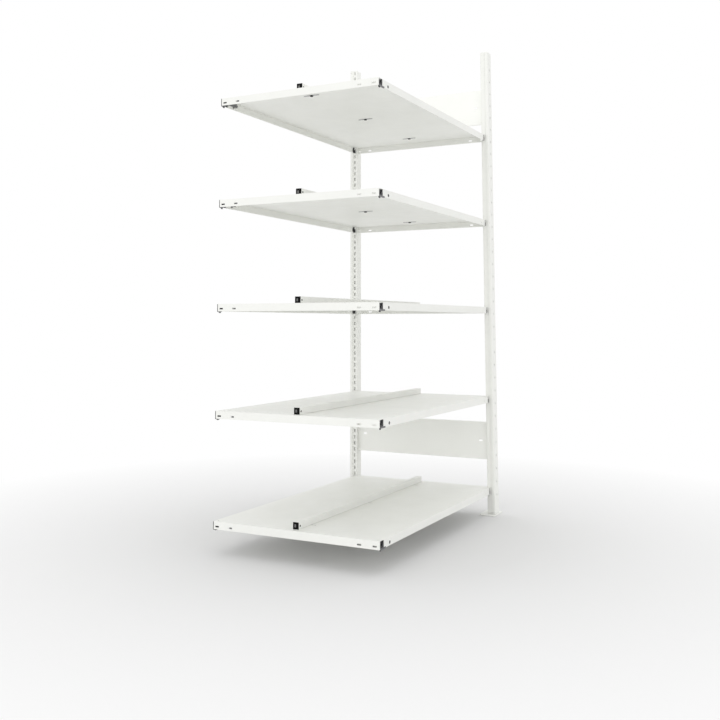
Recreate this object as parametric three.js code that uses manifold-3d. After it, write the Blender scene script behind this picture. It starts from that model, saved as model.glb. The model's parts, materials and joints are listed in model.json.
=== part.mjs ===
// Add-on bay of a double-sided steel bookcase, in millimetres, +Z up.
// One slotted end frame stands at the far end (+Y). Five sheet-steel shelves hang in it and
// run towards the viewer (-Y), where their steel corner hooks wait for the neighbouring bay's frame.
// A stop rail on every shelf parts the two sides and can be shifted sideways in three cross slots.
// The origin is the middle of the lowest shelf's near end flange, on its outer face.

import * as THREE from "three";
import { mergeGeometries, mergeVertices } from "three/addons/utils/BufferGeometryUtils.js";
import Module from "manifold-3d";

const wasm = await Module();
wasm.setup();

// Driving dimensions of the whole bay
const shelf_depth = 600;
const shelf_length = 1000;
const flange_height = 25;
const shelf_count = 5;
const pitches_between_shelves = 14;
const seat_gap = 0.3;
const overrun = 5;

// Uprights: a roll-formed channel whose open side faces the middle of the frame
const post_height = 1850;
const post_width = 32;
const post_depth = 45;
const post_wall = 1.5;
const slotted_band_width = 19;
const slotted_band_recess = 3.5;
const post_opening_width = 23;
const post_corner = 2.5;
const slot_pitch = 25;
const slot_start = 37.5;
const slot_width = 5.5;
const slot_height = 14;
const slot_from_inner_face = 10;
const web_hole_diameter = 7;
const web_hole_start = 75;
const web_hole_pitch = 50;
const web_hole_sides = 6;
const top_hole_diameter = 5;
const top_hole_below_top = 11;
const fit_clearance = 0.8;

// Foot plates under the uprights
const foot_thickness = 4;
const foot_length = 100;
const foot_inboard = 26;
const foot_outboard = 6;
const spigot_height = 20;
const spigot_clearance = 1;
const foot_corner = 8;

// Frame strips that tie the two uprights together
const strip_height = 144;
const strip_sheet = 1;
const strip_flange = 12;
const lower_strip_bottom = 206;
const upper_strip_below_top = 154;
const tongue_height = 30;
const tongue_from_edge = 14;
const tongue_reach = 16;
const strip_slot_length = 14;
const strip_slot_height = 6;
const strip_slot_from_end = 30;

// Shelf tray
const sheet = 1;
const frame_gap = 1.5;
const side_return = 4;
const side_opening_end = 29.5;
const corner_seam = 1.5;
const hem_height = 6;
const hem_thickness = 1.2;
const hem_behind_tongue = 4;
const hem_from_side = 30;
const end_slot_length = 14;
const end_slot_height = 5;
const end_slot_above_edge = 9;
const end_slot_from_side = 16;
const end_slot_spacing = 51.5;
const side_hole_diameter = 6;
const side_hole_from_end = 70;
const side_hole_above_edge = 9.5;
const side_hole_sides = 6;
const cross_slot_length = 55;
const cross_slot_width = 6.5;
const cross_slot_from_end = 100;
const cross_slot_count = 3;

// Corner hooks
const hook_thickness = 2.5;
const hook_neck_height = 5.2;
const hook_seat_below_top = 22;
const nose_drop = 8.2;
const nose_length = 9.7;
const nose_round = 2.2;
const hook_shoulder_below_top = 11;
const prong_from_end = 24;
const body_end = 37;
const body_above_edge = 0.6;
const tongue_end_from_end = 92;
const tongue_below_top = 14;
const tongue_slope = 6;
const rivet_ear = 4.6;
const rivet_clearance = 0.6;
const rivet_sunk = 0.1;

// Centre stop rail, its end plugs and its clamp screws
const stop_width = 20;
const stop_height = 21;
const stop_wall = 1.2;
const stop_lip = 5;
const stop_from_end = 22.7;
const plug_face = 2;
const plug_depth = 10;
const plug_pocket_width = 5;
const plug_pocket_height = 10;
const plug_pocket_depth = 1.2;
const snap_hole_diameter = 4.5;
const snap_hole_from_end = 8.3;
const snap_hole_height = 10;
const clamp_head_diameter = 12;
const clamp_head_height = 4;
const clamp_bar_length = 58;
const clamp_bar_width = 8;
const clamp_bar_thickness = 1.2;
const clamp_shank_diameter = 5;
const clamp_nut_width = 12;
const clamp_nut_height = 2.5;
const clamp_sides = 6;

// Places that follow from the sizes above
const half_depth = shelf_depth / 2;
const frame_plane = shelf_length + frame_gap;
const hook_plane = half_depth - sheet - seat_gap - hook_thickness / 2;
const post_inner = hook_plane - slot_from_inner_face;
const post_outer = post_inner + post_width;
const band_half = post_depth / 2 - slotted_band_recess;
const opening_half = post_opening_width / 2;
const slot_count = Math.floor((post_height - slot_start - slot_pitch / 2) / slot_pitch) + 1;
const web_hole_count = Math.floor((post_height - 2 * web_hole_start) / web_hole_pitch) + 1;
const first_shelf_slot = 2;
const shelf_spacing = slot_pitch * pitches_between_shelves;
const first_slot_edge = slot_start + slot_pitch * first_shelf_slot - slot_height / 2;
const first_shelf_top = first_slot_edge + seat_gap + hook_seat_below_top;
const origin_height = first_shelf_top - flange_height / 2;
const post_bottom = foot_thickness + seat_gap;
const band_face_from_end = band_half - frame_gap;
const cut_start = opening_half - frame_gap - fit_clearance;
const cut_end = band_face_from_end + fit_clearance;
const cut_inner = post_inner - fit_clearance;
const lip_cut_outer = post_inner + post_wall + fit_clearance;
const wall_cut_start = band_face_from_end - post_wall - fit_clearance;
const hook_inner = hook_plane - hook_thickness / 2;
const hook_outer = hook_plane + hook_thickness / 2;
const hem_from_end = tongue_end_from_end + hem_behind_tongue;

// Finishes
const white_steel = new THREE.MeshStandardMaterial({ color: 0xf0f0ea, roughness: 0.55, metalness: 0 });
const zinc_steel = new THREE.MeshStandardMaterial({ color: 0x4a4a4c, roughness: 0.4, metalness: 0.9 });
const black_plastic = new THREE.MeshStandardMaterial({ color: 0x161616, roughness: 0.5, metalness: 0 });

// Solid from a closed geometry, with its shared corners merged
function solid(geometry) {
  const bare = geometry.clone();
  bare.deleteAttribute("normal");
  bare.deleteAttribute("uv");
  const merged = mergeVertices(bare);
  return new wasm.Manifold(new wasm.Mesh({
    numProp: 3,
    vertProperties: new Float32Array(merged.attributes.position.array),
    triVerts: new Uint32Array(merged.index.array),
  }));
}

// Geometry from a solid
function geometry_of(body) {
  const result = body.getMesh();
  const geometry = new THREE.BufferGeometry();
  geometry.setAttribute("position", new THREE.BufferAttribute(result.vertProperties, result.numProp));
  geometry.setIndex(new THREE.BufferAttribute(result.triVerts, 1));
  return geometry;
}

function box_geometry(low, high) {
  const size = high.clone().sub(low);
  const geometry = new THREE.BoxGeometry(size.x, size.y, size.z);
  const middle = low.clone().add(high).multiplyScalar(1 / 2);
  return geometry.translate(middle.x, middle.y, middle.z);
}

// Box between two corners, given in any order
function box(x1, x2, y1, y2, z1, z2) {
  const low = new THREE.Vector3(Math.min(x1, x2), Math.min(y1, y2), Math.min(z1, z2));
  const high = new THREE.Vector3(Math.max(x1, x2), Math.max(y1, y2), Math.max(z1, z2));
  return solid(box_geometry(low, high));
}

// Outline extruded upwards from one height to another
function upright_prism(points, z1, z2) {
  const shape = new THREE.Shape(points.map(([x, y]) => new THREE.Vector2(x, y)));
  const geometry = new THREE.ExtrudeGeometry(shape, { depth: z2 - z1, bevelEnabled: false });
  return solid(geometry.translate(0, 0, z1));
}

// Outline in Y and Z, extruded along X
function sideways_prism(points, x1, x2) {
  const shape = new THREE.Shape(points.map(([y, z]) => new THREE.Vector2(y, z)));
  const geometry = new THREE.ExtrudeGeometry(shape, { depth: x2 - x1, bevelEnabled: false });
  const turn = new THREE.Matrix4().makeBasis(
    new THREE.Vector3(0, 1, 0), new THREE.Vector3(0, 0, 1), new THREE.Vector3(1, 0, 0));
  return solid(geometry.applyMatrix4(turn).translate(x1, 0, 0));
}

// Outline in X and Z, extruded along Y
function lengthways_prism(points, y1, y2) {
  const shape = new THREE.Shape(points.map(([x, z]) => new THREE.Vector2(x, z)));
  const geometry = new THREE.ExtrudeGeometry(shape, { depth: y2 - y1, bevelEnabled: false });
  const turn = new THREE.Matrix4().makeBasis(
    new THREE.Vector3(1, 0, 0), new THREE.Vector3(0, 0, 1), new THREE.Vector3(0, -1, 0));
  return solid(geometry.applyMatrix4(turn).translate(0, y2, 0));
}

// Round bar or round cutter along one axis
function round(diameter, length, sides, axis) {
  const geometry = new THREE.CylinderGeometry(diameter / 2, diameter / 2, length, sides);
  if (axis === "x") geometry.rotateZ(Math.PI / 2);
  if (axis === "z") geometry.rotateX(Math.PI / 2);
  return geometry;
}

// Copies of one cutter up a row, as a single solid
function row_of(cutter, count, pitch) {
  const copies = [];
  for (let i = 0; i < count; i += 1) {
    copies.push(cutter.clone().translate(0, 0, i * pitch));
  }
  return solid(mergeGeometries(copies));
}

// Closed outline of the upright's bent sheet, in plan, for the side +1 or -1
function post_outline(side) {
  const half = post_depth / 2;
  const step = post_inner + slotted_band_width;
  const outer_face = [
    [post_inner, opening_half], [post_inner, band_half], [step, band_half], [step, half],
    [post_outer - post_corner, half], [post_outer, half - post_corner],
  ];
  const inner_face = [
    [post_outer - post_wall, half - post_corner], [post_outer - post_corner, half - post_wall],
    [step + post_wall, half - post_wall], [step + post_wall, band_half - post_wall],
    [post_inner + post_wall, band_half - post_wall], [post_inner + post_wall, opening_half],
  ];
  const flip = ([x, y]) => [x, -y];
  const outline = [
    ...outer_face, ...outer_face.map(flip).reverse(),
    ...inner_face.map(flip).reverse(), ...inner_face,
  ];
  return outline.map(([x, y]) => [side * x, frame_plane + y]);
}

// Upright with a column of hook slots in its near face and a column of round holes in its web.
// Its far face ends the row of bays, so that one is plain
function post_body(side) {
  const slot = box_geometry(
    new THREE.Vector3(-slot_width / 2, -post_depth, -slot_height / 2),
    new THREE.Vector3(slot_width / 2, 0, slot_height / 2));
  slot.translate(side * hook_plane, frame_plane, slot_start);
  const web_hole = round(web_hole_diameter, post_width, web_hole_sides, "x");
  web_hole.translate(side * post_outer, frame_plane, web_hole_start);
  const top_hole = round(top_hole_diameter, post_depth + 2 * overrun, side_hole_sides, "y");
  const band_middle = (post_inner + slotted_band_width + post_outer) / 2;
  top_hole.translate(side * band_middle, frame_plane, post_height - top_hole_below_top);
  return upright_prism(post_outline(side), post_bottom, post_height)
    .subtract(row_of(slot, slot_count, slot_pitch))
    .subtract(row_of(web_hole, web_hole_count, web_hole_pitch))
    .subtract(solid(top_hole));
}

// Foot plate with a spigot that stands inside the upright
function foot_body(side) {
  const inner = post_inner - foot_inboard;
  const outer = post_outer + foot_outboard;
  const half = foot_length / 2;
  const plate = [
    [inner + foot_corner, -half], [outer - foot_corner, -half], [outer, foot_corner - half],
    [outer, half - foot_corner], [outer - foot_corner, half], [inner + foot_corner, half],
    [inner, half - foot_corner], [inner, foot_corner - half],
  ].map(([x, y]) => [side * x, frame_plane + y]);
  const inset = post_wall + spigot_clearance;
  const spigot = box(
    side * (post_inner + inset), side * (post_outer - inset - post_corner),
    frame_plane - band_half + inset, frame_plane + band_half - inset,
    foot_thickness - seat_gap, foot_thickness + spigot_height);
  return upright_prism(plate, 0, foot_thickness).add(spigot);
}

// Strip between the uprights, folded back along both edges, with two bent tongues at each end
// that reach through the uprights' open sides and grip behind their lips
function strip_body(bottom) {
  const top = bottom + strip_height;
  const end = post_inner - fit_clearance;
  const back = frame_plane + strip_sheet / 2;
  const front = back - strip_sheet;
  let body = box(-end, end, front, back, bottom, top)
    .add(box(-end, end, front, back + strip_flange, bottom, bottom + strip_sheet))
    .add(box(-end, end, front, back + strip_flange, top - strip_sheet, top));
  for (const side of [-1, 1]) {
    const hooked_from = post_inner + post_wall + seat_gap;
    const tongue = [
      [end - overrun, front], [hooked_from, front], [hooked_from, front - tongue_reach + strip_sheet],
      [hooked_from + strip_sheet, front - tongue_reach + strip_sheet], [hooked_from + strip_sheet, back],
      [end - overrun, back],
    ].map(([x, y]) => [side * x, y]);
    const low = bottom + tongue_from_edge;
    const high = top - tongue_from_edge - tongue_height;
    body = body.add(upright_prism(tongue, low, low + tongue_height));
    body = body.add(upright_prism(tongue, high, high + tongue_height));
    const slot_middle = side * (end - strip_slot_from_end);
    const middle_height = bottom + strip_height / 2;
    body = body.subtract(box(
      slot_middle - strip_slot_length / 2, slot_middle + strip_slot_length / 2,
      front - overrun, back + overrun,
      middle_height - strip_slot_height / 2, middle_height + strip_slot_height / 2));
  }
  return body;
}

// Folded tray without its cut-outs: the sheet, four flanges and their hems; zero is the top face
function plain_tray() {
  const inner = half_depth - sheet;
  const hem_inner = inner - hem_thickness;
  const hem_top = hem_height - flange_height;
  let tray = box(-half_depth, half_depth, 0, shelf_length, -flange_height, 0)
    .subtract(box(-inner, inner, sheet, shelf_length - sheet, -flange_height - overrun, -sheet));
  for (const side of [-1, 1]) {
    tray = tray.add(box(
      side * hem_inner, side * half_depth, hem_from_end, shelf_length - hem_from_end,
      -flange_height, hem_top));
    const end_face = side > 0 ? shelf_length : 0;
    tray = tray.add(box(
      hem_from_side - inner, inner - hem_from_side, end_face,
      end_face - side * (sheet + hem_thickness), -flange_height, hem_top));
  }
  return tray;
}

// What is cut out of each corner: room for the upright's lip and its slotted face, the side opening for
// the hook, the long holes in the end flange and the round hole in the side flange. The tray is the same
// when it is turned end for end, and its folded seams show at the near left and the far right
function corner_cuts(side, end) {
  const along = (distance) => (end < 0 ? distance : shelf_length - distance);
  const cuts = [
    box(side * cut_inner, side * lip_cut_outer, along(cut_start), along(cut_end),
      -flange_height - overrun, overrun),
    box(side * cut_inner, side * (half_depth + overrun), along(wall_cut_start), along(cut_end),
      -flange_height - overrun, overrun),
    box(side * hook_outer, side * (half_depth + overrun),
      along(side_return), along(side_opening_end), -flange_height - overrun, -sheet),
  ];
  if (side * end > 0) {
    const seam_outer = half_depth - sheet;
    cuts.push(box(side * (seam_outer - corner_seam), side * seam_outer,
      along(-overrun), along(sheet + overrun), -flange_height - overrun, -sheet));
  }
  for (const spacing of [0, end_slot_spacing]) {
    const x = side * (half_depth - end_slot_from_side - spacing);
    const z = end_slot_above_edge - flange_height;
    cuts.push(box(x - end_slot_length / 2, x + end_slot_length / 2, along(-overrun), along(overrun),
      z - end_slot_height / 2, z + end_slot_height / 2));
  }
  const hole = round(side_hole_diameter, 2 * overrun, side_hole_sides, "x");
  hole.translate(side * half_depth, along(side_hole_from_end), side_hole_above_edge - flange_height);
  cuts.push(solid(hole));
  return cuts;
}

function cross_slot_places() {
  const places = [];
  const step = (shelf_length - 2 * cross_slot_from_end) / (cross_slot_count - 1);
  for (let i = 0; i < cross_slot_count; i += 1) {
    places.push(cross_slot_from_end + i * step);
  }
  return places;
}

function shelf_body() {
  let tray = plain_tray();
  for (const side of [-1, 1]) {
    for (const end of [-1, 1]) {
      for (const cut of corner_cuts(side, end)) {
        tray = tray.subtract(cut);
      }
    }
  }
  for (const y of cross_slot_places()) {
    tray = tray.subtract(box(
      -cross_slot_length / 2, cross_slot_length / 2, y - cross_slot_width / 2, y + cross_slot_width / 2,
      -sheet - overrun, overrun));
  }
  return tray;
}

// Corner hook: a plate inside the side flange whose nose drops behind the upright's slotted face.
// A prong stands up in the side opening. The near hooks carry the neighbouring bay's frame as well, so a
// tongue runs back from them to a rivet in the side flange
function hook_body(side, end) {
  const along = (distance) => (end < 0 ? distance : shelf_length - distance);
  const neck_low = -hook_seat_below_top;
  const neck_high = neck_low + hook_neck_height;
  const nose_back = band_face_from_end - post_wall - seat_gap;
  const nose_tip = nose_back - nose_length;
  const nose_low = neck_low - nose_drop;
  const low = body_above_edge - flange_height;
  const high = -sheet - seat_gap;
  const rivet_height = side_hole_above_edge - flange_height;
  const ear_low = rivet_height - rivet_ear;
  const riveted = end < 0;
  const plain_back = [[body_end, high - tongue_slope], [body_end - tongue_slope, high]];
  const tongue_back = [
    [body_end, -tongue_below_top],
    [side_hole_from_end - rivet_ear, -tongue_below_top], [side_hole_from_end - rivet_ear / 2, ear_low],
    [side_hole_from_end + rivet_ear / 2, ear_low], [side_hole_from_end + rivet_ear, -tongue_below_top],
    [tongue_end_from_end, -tongue_below_top], [tongue_end_from_end, high - tongue_slope],
    [tongue_end_from_end - tongue_slope, high],
  ];
  const profile = [
    ...(riveted ? tongue_back : plain_back), [prong_from_end, high],
    [prong_from_end, -hook_shoulder_below_top], [cut_end, -hook_shoulder_below_top],
    [cut_end, neck_high], [nose_tip + nose_round, neck_high], [nose_tip, neck_high - nose_round],
    [nose_tip, nose_low + nose_round], [nose_tip + nose_round, nose_low], [nose_back, nose_low],
    [nose_back, neck_low], [cut_end, neck_low], [cut_end, low], [body_end - tongue_slope, low],
    [body_end, low + tongue_slope],
  ].map(([y, z]) => [along(y), z]);
  const [from_x, to_x] = side > 0 ? [hook_inner, hook_outer] : [-hook_outer, -hook_inner];
  const plate = sideways_prism(profile, from_x, to_x);
  if (!riveted) return plate;
  const rivet_end = half_depth - rivet_sunk;
  const rivet = round(side_hole_diameter - rivet_clearance, rivet_end - hook_plane, side_hole_sides, "x");
  rivet.translate(side * (rivet_end + hook_plane) / 2, along(side_hole_from_end), rivet_height);
  return plate.add(solid(rivet));
}

// Stop rail: a channel with its lips turned in at the bottom; zero is the shelf's top face
function stop_body() {
  const half = stop_width / 2;
  const low = seat_gap;
  const high = seat_gap + stop_height;
  const outline = [
    [half - stop_wall - stop_lip, low], [half, low], [half, high], [-half, high], [-half, low],
    [stop_wall + stop_lip - half, low], [stop_wall + stop_lip - half, low + stop_wall],
    [stop_wall - half, low + stop_wall], [stop_wall - half, high - stop_wall],
    [half - stop_wall, high - stop_wall], [half - stop_wall, low + stop_wall],
    [half - stop_wall - stop_lip, low + stop_wall],
  ];
  let rail = lengthways_prism(outline, stop_from_end, shelf_length - stop_from_end);
  for (const from_end of [stop_from_end + snap_hole_from_end]) {
    for (const y of [from_end, shelf_length - from_end]) {
      const hole = round(snap_hole_diameter, stop_width + 2 * overrun, side_hole_sides, "x");
      rail = rail.subtract(solid(hole.translate(0, y, snap_hole_height)));
    }
  }
  return rail;
}

// Plug in the near end of the stop rail
function plug_body() {
  const half = stop_width / 2;
  const face_back = stop_from_end - seat_gap;
  const face_front = face_back - plug_face;
  const inner = half - stop_wall - seat_gap;
  const low = seat_gap + stop_wall + seat_gap;
  const high = seat_gap + stop_height - stop_wall - seat_gap;
  const middle = (seat_gap + seat_gap + stop_height) / 2;
  return box(-half, half, face_front, face_back, seat_gap, seat_gap + stop_height)
    .add(box(-inner, inner, face_front + plug_pocket_depth, face_back + plug_depth, low, high))
    .subtract(box(
      -plug_pocket_width / 2, plug_pocket_width / 2, face_front - overrun, face_front + plug_pocket_depth,
      middle - plug_pocket_height / 2, middle + plug_pocket_height / 2));
}

// Clamp screw: head and flat bar under the sheet, shank through the cross slot, nut on the rail's lips
function clamp_body(y) {
  const nut_low = seat_gap + stop_wall + seat_gap;
  const nut_high = nut_low + clamp_nut_height;
  const head_high = -sheet - seat_gap;
  const head_low = head_high - clamp_head_height;
  const head = round(clamp_head_diameter, clamp_head_height, clamp_sides, "z");
  head.translate(0, y, (head_low + head_high) / 2);
  const shank = round(clamp_shank_diameter, nut_high - head_low, clamp_sides, "z");
  shank.translate(0, y, (head_low + nut_high) / 2);
  const half = clamp_nut_width / 2;
  const bar = box(
    -clamp_bar_length / 2, clamp_bar_length / 2, y - clamp_bar_width / 2, y + clamp_bar_width / 2,
    head_high - clamp_bar_thickness, head_high);
  return solid(head).add(solid(shank)).add(bar)
    .add(box(-half, half, y - half, y + half, nut_low, nut_high));
}

function named_mesh(name, geometry, material) {
  const mesh = new THREE.Mesh(geometry, material.clone());
  mesh.name = name;
  return mesh;
}

function end_frame() {
  const frame = new THREE.Group();
  for (const [word, side] of [["left", -1], ["right", 1]]) {
    frame.add(named_mesh(`upright_${word}`, geometry_of(post_body(side)), white_steel));
    frame.add(named_mesh(`foot_${word}`, geometry_of(foot_body(side)), white_steel));
  }
  const upper_bottom = post_height - upper_strip_below_top - strip_height;
  frame.add(named_mesh("frame_strip_lower", geometry_of(strip_body(lower_strip_bottom)), white_steel));
  frame.add(named_mesh("frame_strip_upper", geometry_of(strip_body(upper_bottom)), white_steel));
  return frame;
}

function all_shelves() {
  const tray = geometry_of(shelf_body());
  const rail = geometry_of(stop_body());
  const plug = geometry_of(plug_body());
  const clamps = cross_slot_places().map((y) => geometry_of(clamp_body(y)));
  const corners = [];
  for (const [end_word, end] of [["near", -1], ["far", 1]]) {
    for (const [side_word, side] of [["left", -1], ["right", 1]]) {
      corners.push([`${end_word}_${side_word}`, geometry_of(hook_body(side, end))]);
    }
  }
  const stack = new THREE.Group();
  for (let i = 1; i <= shelf_count; i += 1) {
    const level = new THREE.Group();
    level.position.z = first_shelf_top + (i - 1) * shelf_spacing;
    level.add(named_mesh(`shelf_${i}`, tray, white_steel));
    for (const [word, hook] of corners) {
      level.add(named_mesh(`hook_${i}_${word}`, hook, zinc_steel));
    }
    level.add(named_mesh(`stop_rail_${i}`, rail, white_steel));
    level.add(named_mesh(`stop_plug_${i}`, plug, black_plastic));
    clamps.forEach((clamp, n) => level.add(named_mesh(`stop_clamp_${i}_${n + 1}`, clamp, black_plastic)));
    stack.add(level);
  }
  return stack;
}

const bookcase = new THREE.Group();
bookcase.add(end_frame(), all_shelves());
bookcase.position.z = -origin_height;

export default bookcase;
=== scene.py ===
# %% [markdown]
# # A bay of white steel library shelving
#
# This notebook dresses one add-on bay of a double-sided steel bookcase. A designer's CAD model
# already gives every upright, tray, hook and screw its size and place. What is missing is how it
# looks: the white powder coat with its fine orange-peel texture, the soft folds of bent sheet steel,
# the dark zinc of the corner hooks and the moulded black plastic of the end plugs.
#
# The CAD frame is loaded first, because everything made here has to sit on it.

import json
import math

import bmesh
import bpy
from mathutils import Matrix, Vector


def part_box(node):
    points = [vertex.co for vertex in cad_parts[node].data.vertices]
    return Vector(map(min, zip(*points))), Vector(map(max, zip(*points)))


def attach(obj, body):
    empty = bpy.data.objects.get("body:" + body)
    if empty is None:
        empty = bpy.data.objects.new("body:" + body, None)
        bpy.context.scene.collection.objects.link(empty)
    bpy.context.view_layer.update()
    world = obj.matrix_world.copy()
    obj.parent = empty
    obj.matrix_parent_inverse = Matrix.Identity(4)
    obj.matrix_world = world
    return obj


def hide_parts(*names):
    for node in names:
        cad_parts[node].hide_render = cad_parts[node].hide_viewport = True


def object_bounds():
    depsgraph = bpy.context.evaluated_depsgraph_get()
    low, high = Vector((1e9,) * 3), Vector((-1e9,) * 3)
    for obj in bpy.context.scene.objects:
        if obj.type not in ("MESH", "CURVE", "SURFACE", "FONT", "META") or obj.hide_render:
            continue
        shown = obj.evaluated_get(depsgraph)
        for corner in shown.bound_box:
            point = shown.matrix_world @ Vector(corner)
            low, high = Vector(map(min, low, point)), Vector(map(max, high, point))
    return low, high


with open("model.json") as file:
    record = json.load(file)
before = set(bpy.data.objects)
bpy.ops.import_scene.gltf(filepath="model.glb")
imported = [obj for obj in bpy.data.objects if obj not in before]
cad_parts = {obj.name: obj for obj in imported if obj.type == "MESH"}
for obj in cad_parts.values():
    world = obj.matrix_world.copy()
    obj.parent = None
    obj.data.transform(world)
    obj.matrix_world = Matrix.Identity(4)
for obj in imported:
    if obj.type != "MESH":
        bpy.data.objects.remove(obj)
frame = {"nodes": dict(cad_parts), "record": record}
CAD_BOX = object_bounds()
nodes = frame["nodes"]
print("CAD box:", [round(v, 4) for v in CAD_BOX[0]], [round(v, 4) for v in CAD_BOX[1]])

# %% [markdown]
# ## The camera
#
# The picture was taken from just under the height of the third shelf, in front of the near ends and to
# the right of them. The place, the tilt and the focal length were worked out beforehand from straight
# edges whose real lengths are known. The picture's optical centre lies above the middle of the frame,
# as in a crop, so a lens shift moves the frame down without tilting the camera.

# %% Place the camera
PHOTO_WIDTH = 720
SENSOR_WIDTH = 36.0
FOCAL_PIXELS = 898.16
OPTICAL_ROW = 212.87
CAMERA_PLACE = (1.50515, -2.45416, 0.64957)
PITCH = 0.1219
YAW = 0.4774

camera_data = bpy.data.cameras.new("photo_camera")
camera_data.sensor_width = SENSOR_WIDTH
camera_data.lens = FOCAL_PIXELS / PHOTO_WIDTH * SENSOR_WIDTH
camera_data.shift_y = (OPTICAL_ROW - PHOTO_WIDTH / 2) / PHOTO_WIDTH
camera_data.clip_start = 0.05
camera_data.clip_end = 100.0
camera = bpy.data.objects.new("photo_camera", camera_data)
camera.location = CAMERA_PLACE
camera.rotation_euler = (math.pi / 2 + PITCH, 0.0, YAW)
bpy.context.scene.collection.objects.link(camera)
bpy.context.scene.camera = camera
bpy.context.scene.view_settings.view_transform = "Standard"
print("lens", round(camera_data.lens, 2), "mm, shift", round(camera_data.shift_y, 4))

# %% [markdown]
# ## Small helpers for building materials
#
# A node material is a graph, and writing each node out takes about five lines. Each short helper here
# adds one kind of node, joins it to what feeds it, and returns the socket that leads on. Every finish
# below reads Object coordinates, which are metres on this model, so a scale of 1000 means one cell to
# a millimetre.

# %% Node helpers
def new_material(name):
    material = bpy.data.materials.new(name)
    material.use_nodes = True
    tree = material.node_tree
    shader = tree.nodes["Principled BSDF"]
    place = tree.nodes.new("ShaderNodeTexCoord")
    return material, tree, shader, place.outputs["Object"]


def noise(tree, place, scale, detail=2.0, roughness=0.5):
    node = tree.nodes.new("ShaderNodeTexNoise")
    node.inputs["Scale"].default_value = scale
    node.inputs["Detail"].default_value = detail
    node.inputs["Roughness"].default_value = roughness
    tree.links.new(place, node.inputs["Vector"])
    return node.outputs["Fac"]


def ramp(tree, value, stops):
    node = tree.nodes.new("ShaderNodeValToRGB")
    ramp_points = node.color_ramp.elements
    while len(ramp_points) < len(stops):
        ramp_points.new(0.5)
    for point, (position, colour) in zip(ramp_points, stops):
        point.position = position
        point.color = (*colour, 1.0)
    tree.links.new(value, node.inputs["Fac"])
    return node.outputs["Color"]


def remap(tree, value, low, high, from_low=0.0, from_high=1.0):
    node = tree.nodes.new("ShaderNodeMapRange")
    node.inputs["From Min"].default_value = from_low
    node.inputs["From Max"].default_value = from_high
    node.inputs["To Min"].default_value = low
    node.inputs["To Max"].default_value = high
    tree.links.new(value, node.inputs["Value"])
    return node.outputs["Result"]


def math_node(tree, operation, first, second):
    node = tree.nodes.new("ShaderNodeMath")
    node.operation = operation
    for socket, value in zip(node.inputs, (first, second)):
        if isinstance(value, (int, float)):
            socket.default_value = value
        else:
            tree.links.new(value, socket)
    return node.outputs["Value"]


def bump(tree, height, distance, strength=1.0, under=None):
    node = tree.nodes.new("ShaderNodeBump")
    node.inputs["Distance"].default_value = distance
    node.inputs["Strength"].default_value = strength
    tree.links.new(height, node.inputs["Height"])
    if under is not None:
        tree.links.new(under, node.inputs["Normal"])
    return node.outputs["Normal"]


def mix_colour(tree, factor, first, second):
    """A Mix node set to colour has its factor in socket 0 and its colours in 6 and 7."""
    node = tree.nodes.new("ShaderNodeMix")
    node.data_type = "RGBA"
    node.blend_type = "MIX"
    tree.links.new(factor, node.inputs[0])
    for socket, value in ((node.inputs[6], first), (node.inputs[7], second)):
        if isinstance(value, tuple):
            socket.default_value = (*value, 1.0)
        else:
            tree.links.new(value, socket)
    return node.outputs[2]


# %% [markdown]
# ## White powder coat
#
# The shelves and uprights are sheet steel with a white powder coat. The powder melts into a skin
# that is almost smooth but ripples slightly, like orange peel, and carries a much finer grain. Close
# up that grain breaks the reflection; from a step away it only softens it. The colour is a warm
# white with a very faint cloudiness where the skin is thinner, and a few places where hands and
# books have rubbed it a little smoother.
#
# Two scales of noise feed the bump, a large and a very fine one tint the colour, and one more varies
# the roughness. A noise is the simplest way to get a surface that has no pattern of its own. The
# colours are those of real white paint, which sends back a little under nine tenths of the light.

# %% Powder coat material
CLOUD_SCALE, HANDLED_SCALE, PEEL_SCALE, SPECK_SCALE, GRAIN_SCALE = 9.0, 26.0, 420.0, 900.0, 1600.0
PEEL_HEIGHT, GRAIN_HEIGHT = 0.00006, 0.00002
SPECK_COLOUR = (0.62, 0.62, 0.58)
HANDLED_FROM, HANDLED_SHARE = 0.36, 0.16


def powder_coat(name, colour, thin_colour):
    material, tree, shader, place = new_material(name)
    cloud = noise(tree, place, CLOUD_SCALE, 3.0, 0.55)
    speck = noise(tree, place, SPECK_SCALE, 1.0)
    tint = ramp(tree, cloud, [(0.35, thin_colour), (0.65, colour)])
    speckled = mix_colour(tree, remap(tree, speck, 0.0, 0.05, 0.55, 0.75), tint, SPECK_COLOUR)
    tree.links.new(speckled, shader.inputs["Base Color"])
    rubbed = noise(tree, place, HANDLED_SCALE, 4.0, 0.6)
    rough = remap(tree, rubbed, HANDLED_FROM, HANDLED_FROM + HANDLED_SHARE, 0.35, 0.6)
    tree.links.new(rough, shader.inputs["Roughness"])
    peel = noise(tree, place, PEEL_SCALE, 1.0)
    grain = noise(tree, place, GRAIN_SCALE, 1.0)
    rippled = bump(tree, peel, PEEL_HEIGHT, 0.5)
    grained = bump(tree, grain, GRAIN_HEIGHT, 0.4, rippled)
    tree.links.new(grained, shader.inputs["Normal"])
    shader.inputs["Specular IOR Level"].default_value = 0.45
    return material


WHITE, WHITE_THIN = (0.875, 0.88, 0.845), (0.855, 0.86, 0.825)
# The frame strips' whiter coat is painted light: it makes up for light that the lamps don't bring so deep
# between the trays.
STRIP_PAINTED_LIGHT_WHITE, STRIP_PAINTED_LIGHT_WHITE_THIN = (0.935, 0.94, 0.91), (0.92, 0.925, 0.895)
white_coat = powder_coat("white_powder_coat", WHITE, WHITE_THIN)
strip_painted_light_coat = powder_coat("frame_strip_painted_light_coat", STRIP_PAINTED_LIGHT_WHITE, STRIP_PAINTED_LIGHT_WHITE_THIN)
tray_seam_shade_coat = powder_coat("tray_seam_shade_powder_coat", WHITE, WHITE_THIN)
print("powder coat nodes:", len(white_coat.node_tree.nodes))
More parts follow.
